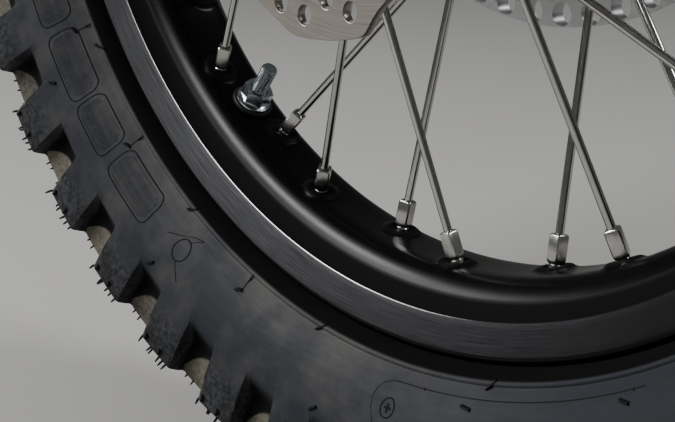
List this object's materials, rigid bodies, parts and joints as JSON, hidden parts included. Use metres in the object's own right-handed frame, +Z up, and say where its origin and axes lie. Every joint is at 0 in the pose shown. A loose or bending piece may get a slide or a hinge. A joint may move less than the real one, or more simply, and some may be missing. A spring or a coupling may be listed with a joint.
{
  "type": "motorcycle rear wheel",
  "caption": "Spoked off-road motorcycle rear wheel with knobbly tyre, black rim, wave brake disc and sprocket, turning on its hollow axle.",
  "frame": {"origin": "the wheel's centre, on the axle's bore and midway between the rim's flanges", "axes": "+Y along the axle to the sprocket side, +X forward, +Z up"},
  "size_m": [0.6816, 0.235, 0.6797],
  "materials": {
    "black_hub": "satin",
    "bearing_steel": "satin",
    "seal_rubber": "matt",
    "spoke_steel": "polished",
    "nipple_nickel": "satin",
    "black_rim": "satin, lightly brushed",
    "tyre": "matt, faintly blue",
    "disc_steel": "turned",
    "bolt_steel": "satin",
    "sprocket_aluminium": "satin",
    "zinc_steel": "zinc plated",
    "lock_washer": "matt",
    "valve_brass": "nickel plated",
    "cap_plastic": "matt",
    "axle_steel": "ground",
    "collar_aluminium": "satin"
  },
  "bodies": {
    "axle": {"axle": "axle_steel", "axle_nut": "zinc_steel", "axle_washer": "zinc_steel", "disc_side_collar": "collar_aluminium", "sprocket_side_collar": "collar_aluminium"},
    "wheel": {"hub": "black_hub", "disc_side_bearing": "bearing_steel", "sprocket_side_bearing": "bearing_steel", "disc_side_seal": "seal_rubber", "sprocket_side_seal": "seal_rubber", "disc_side_spokes": "spoke_steel", "sprocket_side_spokes": "spoke_steel", "spoke_nipples": "nipple_nickel", "rim": "black_rim", "tyre": "tyre", "brake_disc": "disc_steel", "brake_disc_bolts": "bolt_steel", "sprocket": "sprocket_aluminium", "sprocket_bolts": "bolt_steel", "sprocket_nuts": "bolt_steel", "rim_lock_stud": "zinc_steel", "rim_lock_nut": "zinc_steel", "rim_lock_washer": "lock_washer", "valve_stem": "valve_brass", "valve_nut": "valve_brass", "valve_cap": "cap_plastic"}
  },
  "joints": [
    {"name": "wheel_spin", "type": "hinge", "parent": "axle", "child": "wheel", "pos_m": [0, 0, 0], "axis": [0, 1, 0], "continuous": true}
  ]
}
